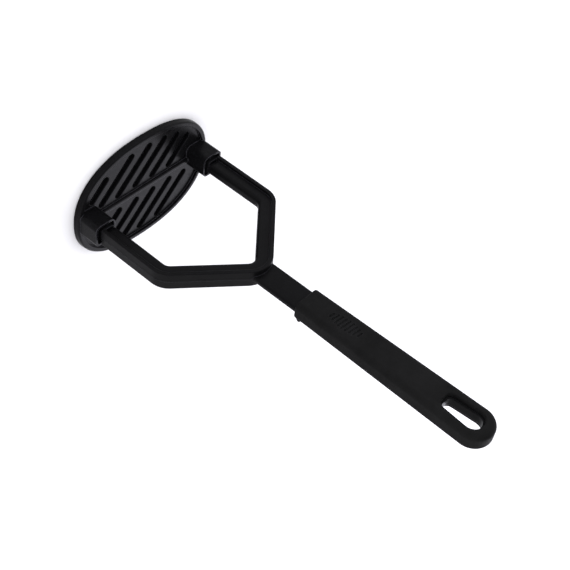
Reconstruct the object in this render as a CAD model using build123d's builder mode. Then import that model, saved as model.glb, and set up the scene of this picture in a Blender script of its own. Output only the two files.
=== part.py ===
from build123d import *
from math import copysign, cos, pi, radians, sin, tan
import os

os.makedirs("parts", exist_ok=True)

# A moulded potato masher that stands on its slotted head.
# The origin is the middle of the mashing face.
# +Z runs up the handle, X runs from arm to arm, and -Y is the front of the grip.

# Mashing head
head_half_length = 55.7
head_half_width = 41.3
head_roundness = 2.3
outline_points = 48
seam_turn = 63.75
rim_height = 4.9
rim_draft = 0.4
rim_width = 3.1
rim_outer_round = 1.2
rim_inner_round = 0.3
rim_foot_round = 1.0
plate_thickness = 3.0
rib_thickness = 2.6
rib_round = 0.9

# Round-ended slots through the plate, all at one slant
slot_angle = 45.3
slot_pitch = 14.7
slot_shift = -2.8
slot_width = 5.6
slots_each_side = 7
strip_width = 0.2
shortest_strip = 4.0
slot_lip_round = 0.35
rim_border = 3.0
field_shift = 1.5
rib_front_border = 1.4
rib_back_border = 4.8
socket_border = 1.2

# Sockets for the two arms
handle_shift = -1.5
socket_outer = 54.6
socket_inner = 39.0
socket_depth = 16.0
socket_foot = 0.6
socket_top = 19.0
socket_outer_round = 3.2
socket_inner_round = 4.0
mouth_outer = 53.2
mouth_inner = 40.0
mouth_depth = 13.2
mouth_round = 2.0
mouth_floor = 13.0
pocket_floor = 5.0
fit_gap = 0.03

# Yoke: two arms that lean in to one shank
arm_outer = 51.8
arm_foot = 20.7
yoke_width = 11.0
limb_lean = 50.06
apex_height = 113.6
web_half_depth = 4.0
web_round = 2.8
flange_width = 2.9
flange_half_depth = 6.1
flange_draft = 0.15
flange_round = 0.5
elbow_round = 14.5
elbow_inner_round = 5.0
apex_round = 17.0
apex_inner_round = 5.5
parting_proud = 0.12
parting_half_depth = 0.3
plug_inset = 1.0
plug_round = 1.5

# Shank between the yoke and the grip
shank_width = 18.0
shank_thickness = 4.0
shank_foot = 103.0
shank_round = 1.4

# Tang inside the grip
tang_width = 12.0
tang_end = 222.0
tang_round = 1.5
window_length = 14.0
window_width = 5.0
window_heights = (165.0, 200.0)

# Rest on the back of the shank
rest_half_width = 5.0
rest_root = -1.0
rest_foot = 136.0
rest_belly = 7.0
rest_belly_height = 137.4
rest_tip = 11.6
rest_tip_height = 140.2
rest_hook = 2.4
rest_tip_round = 1.2
rest_gap = 0.4

# Grip
grip_foot = 139.5
grip_foot_half_width = 10.0
grip_head_height = 262.9
grip_head_radius = 12.3
grip_half_thickness = 6.3
grip_long_round = 3.5
grip_foot_round = 1.2
skin = 2.2
core_round = 1.6
core_foot_round = 0.6

# Hanging hole
hole_foot = 242.3
hole_head = 266.9
hole_foot_half_width = 4.4
hole_head_half_width = 6.5
hole_foot_round = 2.8
hole_head_round = 5.4
hole_lip = 1.1
hole_skin = 0.7
hole_edge_round = 1.0
ring_half_thickness = 3.4
ring_edge_round = 0.8

# Thumb grooves
groove_count = 9
groove_pitch = 2.6
groove_middle = 170.0
groove_width = 1.4
groove_depth = 0.7
groove_tilt = 5.0
groove_longest = 9.4
groove_shortening = 0.28

ring_overlap = 0.3
grip_back = handle_shift + grip_half_thickness
handle_front = Plane.XZ.offset(-handle_shift)


def oval(half_length, half_width):
    """The head's full oval about the origin."""
    power = 2 / head_roundness
    points = []
    for step in range(outline_points):
        turn = radians(seam_turn) + 2 * pi * step / outline_points
        across, along = cos(turn), sin(turn)
        x = half_length * copysign(abs(across) ** power, across)
        y = half_width * copysign(abs(along) ** power, along)
        points.append((x, y))
    with BuildSketch(mode=Mode.PRIVATE) as outline:
        with BuildLine():
            Spline(points, periodic=True)
        make_face()
    return outline.sketch


def yoke_corners(inset):
    """Corners of the yoke's outer line, moved inward, from right foot to left foot."""
    lean = radians(limb_lean)
    side = arm_outer - inset
    apex = apex_height - inset / sin(lean)
    elbow = apex - side / tan(lean)
    return [(side, arm_foot), (side, elbow), (0, apex), (-side, elbow), (-side, arm_foot)]


def yoke_band(outer_inset, inner_inset, inner_elbow, inner_apex):
    """The arch-shaped band between two inward offsets of the yoke's outer line."""
    outer = yoke_corners(outer_inset)
    inner = yoke_corners(inner_inset)
    with BuildSketch(mode=Mode.PRIVATE) as band:
        with BuildLine():
            Polyline(*outer, *reversed(inner), close=True)
        make_face()
        rounds = [(outer[2], apex_round - outer_inset), (inner[2], inner_apex)]
        for corner in (1, 3):
            rounds.append((outer[corner], elbow_round - outer_inset))
            rounds.append((inner[corner], inner_elbow))
        for corner, radius in rounds:
            fillet(band.vertices().sort_by_distance(corner)[0], radius)
    return band.sketch


def flange_band(outer_inset):
    """The band of the flange alone, with its outer line moved inward."""
    inner_elbow = elbow_round - flange_width
    inner_apex = apex_round - flange_width
    return yoke_band(outer_inset, flange_width, inner_elbow, inner_apex)


def grip_outline(inset):
    """The front view of the grip, moved inward."""
    foot = grip_foot + inset
    foot_half = grip_foot_half_width - inset
    head_half = grip_head_radius - inset
    crown = grip_head_height + head_half
    with BuildSketch(mode=Mode.PRIVATE) as outline:
        with BuildLine():
            Polyline(
                (-head_half, grip_head_height),
                (-foot_half, foot),
                (foot_half, foot),
                (head_half, grip_head_height),
            )
            ThreePointArc((head_half, grip_head_height), (0, crown), (-head_half, grip_head_height))
        make_face()
    return outline.sketch


def grip_solid(inset, long_round, foot_round):
    """A rounded grip body, moved inward all over."""
    half = grip_half_thickness - inset
    with BuildPart() as body:
        with BuildSketch(handle_front):
            add(grip_outline(inset))
        extrude(amount=half, both=True)
        flat_faces = body.faces().filter_by(Axis.Y)
        long_edges = flat_faces.edges().filter_by(lambda edge: edge.center().Z > grip_foot + inset + 1)
        fillet(long_edges, long_round)
        fillet(body.faces().sort_by(Axis.Z)[0].edges(), foot_round)
    return body.part


def hole_outline(grow):
    """The hanging hole, a rounded wedge, moved outward."""
    foot_half = hole_foot_half_width + grow
    head_half = hole_head_half_width + grow
    with BuildSketch(mode=Mode.PRIVATE) as hole:
        with BuildLine():
            Polyline(
                (-foot_half, hole_foot - grow),
                (foot_half, hole_foot - grow),
                (head_half, hole_head + grow),
                (-head_half, hole_head + grow),
                close=True,
            )
        make_face()
        fillet(hole.vertices().group_by(Axis.Y)[0], hole_foot_round + grow)
        fillet(hole.vertices().group_by(Axis.Y)[-1], hole_head_round + grow)
    return hole.sketch


def core_blank(gap):
    """The solid core of the grip with its ring in the hanging hole, grown by a gap."""
    with BuildPart() as blank:
        add(grip_solid(skin - gap, core_round, core_foot_round))
        with BuildSketch(handle_front):
            add(hole_outline(hole_lip + hole_skin - gap))
        extrude(amount=grip_half_thickness, both=True, mode=Mode.SUBTRACT)
        with BuildSketch(handle_front):
            add(hole_outline(hole_lip + hole_skin + ring_overlap))
            add(hole_outline(-gap), mode=Mode.SUBTRACT)
        extrude(amount=ring_half_thickness + gap, both=True)
    return blank.part


def shank_sketch(width, corner_round, gap):
    """A cross-section of the flat shank or tang, grown by a gap."""
    with BuildSketch(mode=Mode.PRIVATE) as section:
        with Locations((0, handle_shift)):
            RectangleRounded(width + 2 * gap, shank_thickness + 2 * gap, corner_round)
    return section.sketch


def socket_sketch(side):
    """A cross-section of the socket block at one end of the head."""
    with BuildSketch(mode=Mode.PRIVATE) as section:
        with Locations((side * (socket_outer + socket_inner) / 2, handle_shift)):
            Rectangle(socket_outer - socket_inner, socket_depth)
        by_side = section.vertices().group_by(Axis.X)
        inner_ends, outer_ends = (by_side[0], by_side[-1])[::side]
        fillet(outer_ends, socket_outer_round)
        fillet(section.vertices().sort_by_distance(inner_ends[0])[0], socket_inner_round)
        fillet(section.vertices().sort_by_distance(inner_ends[-1])[0], socket_inner_round)
    return section.sketch


def plug_sketch(side, gap):
    """A cross-section of the plug at the foot of one arm, grown by a gap."""
    width = yoke_width - 2 * plug_inset + 2 * gap
    depth = 2 * (flange_half_depth - plug_inset) + 2 * gap
    with BuildSketch(mode=Mode.PRIVATE) as section:
        with Locations((side * (arm_outer - yoke_width / 2), handle_shift)):
            RectangleRounded(width, depth, plug_round)
    return section.sketch


# Middle lines of the slots, as thin strips that stop short of the rim, the rib and the sockets
end_round = slot_width / 2
with BuildSketch(mode=Mode.PRIVATE) as strips:
    for slot in range(-slots_each_side, slots_each_side + 1):
        with Locations((slot_shift + slot * slot_pitch, 0)):
            Rectangle(3 * head_half_length, strip_width, rotation=slot_angle)
    inset = rim_width + rim_border + end_round
    with Locations((0, field_shift)):
        add(oval(head_half_length - inset, head_half_width - inset), mode=Mode.INTERSECT)
    rib_front = -rib_thickness / 2 - rib_front_border - end_round
    rib_back = rib_thickness / 2 + rib_back_border + end_round
    with Locations((0, (rib_front + rib_back) / 2)):
        Rectangle(2 * head_half_length, rib_back - rib_front, mode=Mode.SUBTRACT)
    keep_out = socket_border + end_round
    for side in (-1, 1):
        with Locations((side * (head_half_length + socket_inner - keep_out) / 2, handle_shift)):
            width = head_half_length - socket_inner + keep_out
            Rectangle(width, socket_depth + 2 * keep_out, mode=Mode.SUBTRACT)

# All the slots as one cutter
with BuildPart() as slot_cutter:
    with BuildSketch(Plane.XY.offset(-1)):
        for strip in strips.faces():
            length = strip.area / strip_width
            if length > shortest_strip:
                with Locations((strip.center().X, strip.center().Y)):
                    SlotOverall(length + slot_width, slot_width, rotation=slot_angle)
    extrude(amount=plate_thickness + 2)

with BuildPart() as masher_head:
    with BuildSketch():
        add(oval(head_half_length + rim_draft, head_half_width + rim_draft))
    with BuildSketch(Plane.XY.offset(rim_height)):
        add(oval(head_half_length, head_half_width))
    loft()
    fillet(masher_head.faces().sort_by(Axis.Z)[0].edges(), rim_foot_round)
    fillet(masher_head.faces().sort_by(Axis.Z)[-1].edges(), rim_outer_round)
    with BuildSketch(Plane.XY.offset(plate_thickness)):
        add(oval(head_half_length - rim_width, head_half_width - rim_width))
    extrude(amount=rim_height, mode=Mode.SUBTRACT)
    fillet(masher_head.faces().sort_by(Axis.Z)[-1].inner_wires().edges(), rim_inner_round)
    add(slot_cutter.part, mode=Mode.SUBTRACT)
    plate_edges = masher_head.edges().filter_by_position(Axis.Z, plate_thickness, plate_thickness)
    fillet(plate_edges.filter_by(GeomType.BSPLINE, reverse=True), slot_lip_round)
    # Middle rib, level with the rim
    with BuildSketch(Plane.YZ) as rib_side:
        with Locations((0, (rim_height + plate_thickness) / 2)):
            Rectangle(rib_thickness, rim_height - plate_thickness)
        fillet(rib_side.vertices().group_by(Axis.Y)[-1].sort_by(Axis.X)[0], rib_round)
    extrude(amount=head_half_length - rim_width / 2, both=True)
    # Sockets, one at each end
    for side in (-1, 1):
        with BuildSketch(Plane.XY.offset(socket_foot)):
            add(socket_sketch(side))
        extrude(amount=socket_top - socket_foot)
        with BuildSketch(Plane.XY.offset(mouth_floor)):
            with Locations((side * (mouth_outer + mouth_inner) / 2, handle_shift)):
                RectangleRounded(mouth_outer - mouth_inner, mouth_depth, mouth_round)
        extrude(amount=socket_top, mode=Mode.SUBTRACT)
        with BuildSketch(Plane.XY.offset(pocket_floor)):
            add(plug_sketch(side, fit_gap))
        extrude(amount=socket_top, mode=Mode.SUBTRACT)

with BuildPart() as yoke:
    # Web along both arms
    with BuildSketch(handle_front):
        add(yoke_band(0, yoke_width, elbow_inner_round, apex_inner_round))
    extrude(amount=web_half_depth, both=True)
    fillet(yoke.faces().filter_by(Axis.Y).edges(), web_round)
    # Flange round the outside, drafted both ways from its parting line
    for facing in (1, -1):
        with BuildSketch(handle_front):
            add(flange_band(0))
        with BuildSketch(handle_front.offset(facing * flange_half_depth)):
            add(flange_band(flange_draft))
        loft(ruled=True)
    for facing in (0, -1):
        broad_edges = yoke.edges().group_by(Axis.Y)[facing]
        fillet(broad_edges.filter_by(lambda edge: edge.center().Z > arm_foot + 0.1), flange_round)
    with BuildSketch(handle_front):
        add(flange_band(-parting_proud))
    extrude(amount=parting_half_depth, both=True)
    # Plugs at the feet
    for side in (-1, 1):
        with BuildSketch(Plane.XY.offset(pocket_floor + fit_gap)):
            add(plug_sketch(side, 0))
        extrude(amount=arm_foot - pocket_floor)
    # Shank and tang
    with BuildSketch(Plane.XY.offset(shank_foot)):
        add(shank_sketch(shank_width, shank_round, 0))
    extrude(amount=grip_foot + skin - shank_foot)
    with BuildSketch(Plane.XY.offset(grip_foot + skin)):
        add(shank_sketch(tang_width, tang_round, 0))
    extrude(amount=tang_end - grip_foot - skin)
    with BuildSketch(handle_front):
        for height in window_heights:
            with Locations((0, height)):
                SlotOverall(window_length, window_width, rotation=90)
    extrude(amount=shank_thickness, both=True, mode=Mode.SUBTRACT)

    # Rest on the back of the shank, hooked over the foot of the grip
    with BuildSketch(Plane.YZ) as rest_side:
        with BuildLine():
            Spline((rest_root, rest_foot), (rest_belly, rest_belly_height), (rest_tip, rest_tip_height))
            Polyline(
                (rest_tip, rest_tip_height),
                (rest_tip - rest_hook, rest_tip_height + rest_hook),
                (grip_back + rest_gap, grip_foot - rest_gap),
                (rest_root, grip_foot - rest_gap),
                (rest_root, rest_foot),
            )
        make_face()
        fillet(rest_side.vertices().sort_by(Axis.X)[-2:], rest_tip_round)
    extrude(amount=rest_half_width, both=True)

# Hard core of the grip, moulded round the tang
with BuildPart() as grip_core:
    add(core_blank(0))
    ring_faces = grip_core.faces().filter_by(Axis.Y).filter_by(lambda face: face.center().Z > hole_foot)
    fillet([edge for face in ring_faces for edge in face.inner_wires().edges()], ring_edge_round)
    with BuildSketch(Plane.XY.offset(grip_foot)):
        add(shank_sketch(tang_width, tang_round, fit_gap))
    extrude(amount=tang_end + fit_gap - grip_foot, mode=Mode.SUBTRACT)
    # Bosses that fill the windows of the tang
    with BuildSketch(handle_front):
        for height in window_heights:
            with Locations((0, height)):
                SlotOverall(window_length - 2 * fit_gap, window_width - 2 * fit_gap, rotation=90)
    extrude(amount=(grip_half_thickness - skin + shank_thickness / 2) / 2, both=True)

# Soft grip moulded over the core
with BuildPart() as soft_grip:
    add(grip_solid(0, grip_long_round, grip_foot_round))
    with BuildSketch(handle_front):
        add(hole_outline(hole_lip))
    extrude(amount=grip_half_thickness, both=True, mode=Mode.SUBTRACT)
    for facing in (0, -1):
        broad_face = soft_grip.faces().filter_by(Axis.Y).sort_by(Axis.Y)[facing]
        fillet(broad_face.inner_wires().edges(), hole_edge_round)
    with BuildSketch(Plane.XY.offset(grip_foot - 1)):
        add(shank_sketch(shank_width, shank_round, fit_gap))
    extrude(amount=skin + 2, mode=Mode.SUBTRACT)
    # Thumb grooves across the front
    with BuildSketch(handle_front.offset(grip_half_thickness - groove_depth)):
        for groove in range(groove_count):
            steps = groove - (groove_count - 1) / 2
            length = groove_longest - groove_shortening * steps**2
            with Locations((0, groove_middle + steps * groove_pitch)):
                SlotOverall(length, groove_width, rotation=-groove_tilt)
    extrude(amount=groove_depth + 1, mode=Mode.SUBTRACT)
    add(core_blank(fit_gap), mode=Mode.SUBTRACT)

pieces = {
    "masher_head": masher_head.part,
    "yoke": yoke.part,
    "grip_core": grip_core.part,
    "soft_grip": soft_grip.part,
}
for name, piece in pieces.items():
    piece.label = name
    export_step(piece, f"parts/{name}.step")
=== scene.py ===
import math
import bpy
from mathutils import Matrix, Vector


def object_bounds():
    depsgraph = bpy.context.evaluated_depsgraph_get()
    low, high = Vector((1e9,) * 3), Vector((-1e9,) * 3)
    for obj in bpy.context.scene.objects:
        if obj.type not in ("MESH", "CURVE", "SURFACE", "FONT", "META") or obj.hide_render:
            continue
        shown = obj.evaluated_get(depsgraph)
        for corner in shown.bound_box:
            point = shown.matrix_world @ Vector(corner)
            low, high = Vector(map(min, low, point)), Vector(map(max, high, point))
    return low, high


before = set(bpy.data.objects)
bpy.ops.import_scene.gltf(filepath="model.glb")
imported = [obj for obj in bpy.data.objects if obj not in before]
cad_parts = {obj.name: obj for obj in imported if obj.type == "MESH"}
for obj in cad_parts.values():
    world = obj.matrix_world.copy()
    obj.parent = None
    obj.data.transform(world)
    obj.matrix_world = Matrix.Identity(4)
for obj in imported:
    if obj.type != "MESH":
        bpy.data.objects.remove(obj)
start_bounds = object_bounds()

# Camera: the photograph's view, from the object's front right and above, rolled so that the
# handle points down to the right
CAMERA_PLACE = (0.39345, -0.51575, 0.38786)
CAMERA_RIGHT = (-0.65475, -0.11754, 0.74665)
CAMERA_UP = (-0.50314, -0.66939, -0.54659)
CAMERA_LENS = 74.08
SENSOR_WIDTH = 36.0

FLOOR_SIZE = 400.0
FLOOR_GAP = 0.0001
FLOOR_ROUGHNESS = 0.9
MOTTLE_SCALE = 9.0
# Painted shade on the floor within the head's footprint: its fade, its tone and the footprint's
# size and shape
CONTACT_FROM, CONTACT_TO = 0.92, 0.99
PAPER_TONES = ((0.95, 0.95, 0.95, 1.0), (0.965, 0.965, 0.965, 1.0))
CONTACT_SHADE_TONE = (0.002, 0.002, 0.002, 1.0)
HEAD_REACH = (0.0555, 0.0410)
HEAD_ROUNDNESS = 2.3

# The studio is bright round the horizon and dim overhead
WORLD_LOW = (1.0, 0.995, 1.03, 1.0)
WORLD_HIGH = (0.22, 0.22, 0.23, 1.0)
WORLD_STRENGTH = 1.7
DIM_FROM, DIM_TO = 0.62, 0.95
BACK_TONE = (0.86, 0.84, 1.0)
BACK_PLACE = (-0.85, 1.05, 0.75)
BACK_AIM = (0, 0, 0.02)
BACK_SIZE = (1.6, 0.7)
BACK_POWER = 6.0

# Noise lies mostly between these two values
NOISE_LOW, NOISE_HIGH = 0.3, 0.7
BEVEL_SAMPLES = 6
SOFTEN_RADIUS = 0.0003
# Painted highlight along edges: where it begins and where it is full
HIGHLIGHT_FROM, HIGHLIGHT_TO = 0.80, 0.97


class Shader:
    """A node tree that is built by plain calls."""

    def __init__(self, name):
        self.material = bpy.data.materials.new(name)
        self.material.use_nodes = True
        self.tree = self.material.node_tree
        self.surface = self.tree.nodes["Principled BSDF"]

    def put(self, socket, value):
        """Sets a socket, or links it when the value is another node's output."""
        if isinstance(value, bpy.types.NodeSocket):
            self.tree.links.new(value, socket)
        else:
            socket.default_value = value

    def add(self, kind, inputs=None, **settings):
        """Adds a node with the given settings and inputs and returns it."""
        made = self.tree.nodes.new(kind)
        for name, value in settings.items():
            setattr(made, name, value)
        for name, value in (inputs or {}).items():
            self.put(made.inputs[name], value)
        return made

    def noise(self, place, scale, detail=3.0, roughness=0.55):
        """Noise at so many cells per metre."""
        inputs = {"Vector": place, "Scale": scale, "Detail": detail, "Roughness": roughness}
        return self.add("ShaderNodeTexNoise", inputs).outputs["Fac"]

    def spread(self, value, low, high, start=0.0, end=1.0):
        """Maps a value from one range to another and holds it there."""
        inputs = {"Value": value, "From Min": start, "From Max": end, "To Min": low, "To Max": high}
        return self.add("ShaderNodeMapRange", inputs).outputs["Result"]

    def sum(self, first, second, operation="ADD"):
        return self.add("ShaderNodeMath", {0: first, 1: second}, operation=operation).outputs[0]

    def blend(self, factor, first, second):
        """A colour between two colours."""
        made = self.add("ShaderNodeMix", data_type="RGBA")
        self.put(made.inputs["Factor"], factor)
        self.put(made.inputs["A"], first)
        self.put(made.inputs["B"], second)
        return made.outputs["Result"]

    def bump(self, height, distance, strength, normal=None):
        inputs = {"Height": height, "Distance": distance, "Strength": strength}
        if normal is not None:
            inputs["Normal"] = normal
        return self.add("ShaderNodeBump", inputs).outputs["Normal"]

    def finish(self, base, rough, normal, density):
        """Plugs the finished maps into the surface."""
        self.put(self.surface.inputs["Base Color"], base)
        self.put(self.surface.inputs["Roughness"], rough)
        self.put(self.surface.inputs["Normal"], normal)
        self.put(self.surface.inputs["IOR"], density)

    def rounded(self, radius):
        """A normal that is rounded over edges."""
        made = self.add("ShaderNodeBevel", {"Radius": radius}, samples=BEVEL_SAMPLES)
        return made.outputs["Normal"]

    def swing(self, value, low, high):
        """Maps noise to a range."""
        return self.spread(value, low, high, NOISE_LOW, NOISE_HIGH)

    def edge_highlight_mask(self, radius, start, end):
        """A mask for painted edge highlights. It rises along edges, from how far a rounded normal
        leans off the true one.
        """
        rounded = self.rounded(radius)
        true = self.add("ShaderNodeNewGeometry").outputs["Normal"]
        dot = self.add("ShaderNodeVectorMath", {0: rounded, 1: true}, operation="DOT_PRODUCT")
        return self.spread(dot.outputs["Value"], 1.0, 0.0, start, end)


def moulded_plastic(name, dark, light, edge, roughness, density):
    """Hard black moulded plastic: fine mould grain, faint flow marks, pale flecks, rub marks and a
    painted highlight along edges.
    """
    shader = Shader(name)
    place = shader.add("ShaderNodeTexCoord").outputs["Object"]
    flow = shader.noise(place, 55.0, 4.0)
    smear = shader.noise(place, 240.0, 5.0, 0.65)
    grain = shader.noise(place, 2600.0, 2.0)
    fleck = shader.spread(shader.noise(place, 5200.0, 1.0), 0.0, 0.3, 0.64, 0.76)
    base = shader.blend(shader.swing(flow, 0.0, 1.0), dark, light)
    base = shader.blend(fleck, base, edge)
    # Painted highlight: edges are blended towards the paler tone, broken up by the rub-mark noise
    highlit_edges = shader.spread(shader.edge_highlight_mask(0.0007, HIGHLIGHT_FROM, HIGHLIGHT_TO), 0.0, 1.0)
    highlit_edges = shader.sum(highlit_edges, shader.swing(smear, 0.45, 1.0), "MULTIPLY")
    base = shader.blend(highlit_edges, base, edge)
    rough = shader.swing(smear, roughness - 0.06, roughness + 0.06)
    rough = shader.sum(rough, shader.swing(grain, -0.03, 0.03))
    softened = shader.rounded(SOFTEN_RADIUS)
    normal = shader.bump(flow, 0.00025, 0.25, softened)
    normal = shader.bump(grain, 0.000035, 0.45, normal)
    shader.finish(base, rough, normal, density)
    return shader.material


def soft_plastic(name, dark, light, edge, roughness, density):
    """Matte soft-touch skin: a dense fine grain, cloudy handling marks and a little dust."""
    shader = Shader(name)
    place = shader.add("ShaderNodeTexCoord").outputs["Object"]
    cloud = shader.noise(place, 70.0, 4.0)
    smear = shader.noise(place, 300.0, 5.0, 0.7)
    grain = shader.noise(place, 3800.0, 2.0, 0.6)
    dust = shader.spread(shader.noise(place, 2300.0, 2.0), 0.0, 0.4, 0.68, 0.80)
    base = shader.blend(shader.swing(cloud, 0.0, 1.0), dark, light)
    base = shader.blend(dust, base, edge)
    # Painted highlight: edges are blended towards the paler tone, broken up by the handling-mark
    # noise
    highlit_edges = shader.edge_highlight_mask(0.0008, HIGHLIGHT_FROM, HIGHLIGHT_TO)
    highlit_edges = shader.sum(highlit_edges, shader.swing(smear, 0.2, 0.8), "MULTIPLY")
    base = shader.blend(highlit_edges, base, edge)
    rough = shader.swing(smear, roughness - 0.08, roughness + 0.08)
    softened = shader.rounded(SOFTEN_RADIUS)
    normal = shader.bump(smear, 0.0001, 0.15, softened)
    normal = shader.bump(grain, 0.00006, 0.6, normal)
    shader.finish(base, rough, normal, density)
    return shader.material


# The dark and light tones are the plastics' own colour; the paler third tone of each colours flecks
# or dust and also paints highlights along edges
HARD_DARK = (0.0022, 0.0022, 0.0024, 1.0)
HARD_LIGHT = (0.0042, 0.0042, 0.0045, 1.0)
HARD_FLECK_AND_HIGHLIGHT = (0.045, 0.044, 0.052, 1.0)
HEAD_FLECK_AND_HIGHLIGHT = (0.090, 0.088, 0.102, 1.0)
SOFT_DARK = (0.0050, 0.0050, 0.0050, 1.0)
SOFT_LIGHT = (0.0085, 0.0085, 0.0086, 1.0)
SOFT_DUST_AND_HIGHLIGHT = (0.026, 0.026, 0.028, 1.0)

nylon_head = moulded_plastic("nylon_head", HARD_DARK, HARD_LIGHT, HEAD_FLECK_AND_HIGHLIGHT, 0.30, 1.13)
nylon_yoke = moulded_plastic("nylon_yoke", HARD_DARK, HARD_LIGHT, HARD_FLECK_AND_HIGHLIGHT, 0.36, 1.13)
hard_core = moulded_plastic("hard_core", HARD_DARK, HARD_LIGHT, HARD_FLECK_AND_HIGHLIGHT, 0.30, 1.12)
soft_grip = soft_plastic("soft_grip", SOFT_DARK, SOFT_LIGHT, SOFT_DUST_AND_HIGHLIGHT, 0.62, 1.12)

FINISHES = {
    "masher_head": nylon_head,
    "yoke": nylon_yoke,
    "grip_core": hard_core,
    "soft_grip": soft_grip,
}
for node, finish in FINISHES.items():
    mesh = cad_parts[node].data
    mesh.materials.clear()
    mesh.materials.append(finish)


# Floor: one pale sheet under the mashing face, with painted shade where the head stands
floor_mesh = bpy.data.meshes.new("floor")
half = FLOOR_SIZE / 2
floor_corners = [(-half, -half, 0), (half, -half, 0), (half, half, 0), (-half, half, 0)]
floor_mesh.from_pydata(floor_corners, [], [(0, 1, 2, 3)])
floor = bpy.data.objects.new("floor", floor_mesh)
floor.location.z = start_bounds[0].z - FLOOR_GAP
bpy.context.scene.collection.objects.link(floor)
floor_shader = Shader("floor_paper")
floor_place = floor_shader.add("ShaderNodeTexCoord").outputs["Object"]
mottle = floor_shader.noise(floor_place, MOTTLE_SCALE, 3.0)
paper = floor_shader.blend(floor_shader.swing(mottle, 0.0, 1.0), *PAPER_TONES)
# Painted contact shade: the paper is dark only where the head stands, so the slots look black
axes = floor_shader.add("ShaderNodeSeparateXYZ", {0: floor_place}).outputs
reach = []
for axis, limit in zip(("X", "Y"), HEAD_REACH):
    scaled = floor_shader.sum(floor_shader.sum(axes[axis], 0.0, "ABSOLUTE"), limit, "DIVIDE")
    reach.append(floor_shader.sum(scaled, HEAD_ROUNDNESS, "POWER"))
contact = floor_shader.spread(floor_shader.sum(*reach), 1.0, 0.0, CONTACT_FROM, CONTACT_TO)
paper = floor_shader.blend(contact, paper, CONTACT_SHADE_TONE)
floor_shader.put(floor_shader.surface.inputs["Base Color"], paper)
floor_shader.put(floor_shader.surface.inputs["Roughness"], FLOOR_ROUGHNESS)
floor_shader.put(floor_shader.surface.inputs["Specular IOR Level"], 0.0)
floor_mesh.materials.append(floor_shader.material)


def softbox(name, place, aim, size, power):
    """A rectangular area light that faces a point."""
    light = bpy.data.lights.new(name, "AREA")
    light.shape = "RECTANGLE"
    light.size, light.size_y = size
    light.energy = power
    lamp = bpy.data.objects.new(name, light)
    lamp.location = place
    lamp.rotation_euler = (Vector(aim) - Vector(place)).to_track_quat("-Z", "Y").to_euler()
    bpy.context.scene.collection.objects.link(lamp)
    return lamp


back_box = softbox("back_box", BACK_PLACE, BACK_AIM, BACK_SIZE, BACK_POWER)
back_box.data.color = BACK_TONE

world = bpy.data.worlds.new("studio")
world.use_nodes = True
tree = world.node_tree
background = tree.nodes["Background"]
sky_place = tree.nodes.new("ShaderNodeTexCoord")
sky_axes = tree.nodes.new("ShaderNodeSeparateXYZ")
dimming = tree.nodes.new("ShaderNodeMapRange")
dimming.inputs["From Min"].default_value = DIM_FROM
dimming.inputs["From Max"].default_value = DIM_TO
sky = tree.nodes.new("ShaderNodeMix")
sky.data_type = "RGBA"
sky.inputs["A"].default_value = WORLD_LOW
sky.inputs["B"].default_value = WORLD_HIGH
tree.links.new(sky_place.outputs["Generated"], sky_axes.inputs[0])
tree.links.new(sky_axes.outputs["Z"], dimming.inputs["Value"])
tree.links.new(dimming.outputs["Result"], sky.inputs["Factor"])
tree.links.new(sky.outputs["Result"], background.inputs["Color"])
background.inputs["Strength"].default_value = WORLD_STRENGTH
bpy.context.scene.world = world
bpy.context.scene.view_settings.view_transform = "Standard"

camera_data = bpy.data.cameras.new("photo_camera")
camera_data.lens = CAMERA_LENS
camera_data.sensor_width = SENSOR_WIDTH
camera_data.clip_start = 0.05
camera_data.clip_end = 200.0
camera = bpy.data.objects.new("photo_camera", camera_data)
right, up = Vector(CAMERA_RIGHT), Vector(CAMERA_UP)
turn = Matrix((right, up, right.cross(up))).transposed()
camera.matrix_world = Matrix.Translation(CAMERA_PLACE) @ turn.to_4x4()
bpy.context.scene.collection.objects.link(camera)
bpy.context.scene.camera = camera
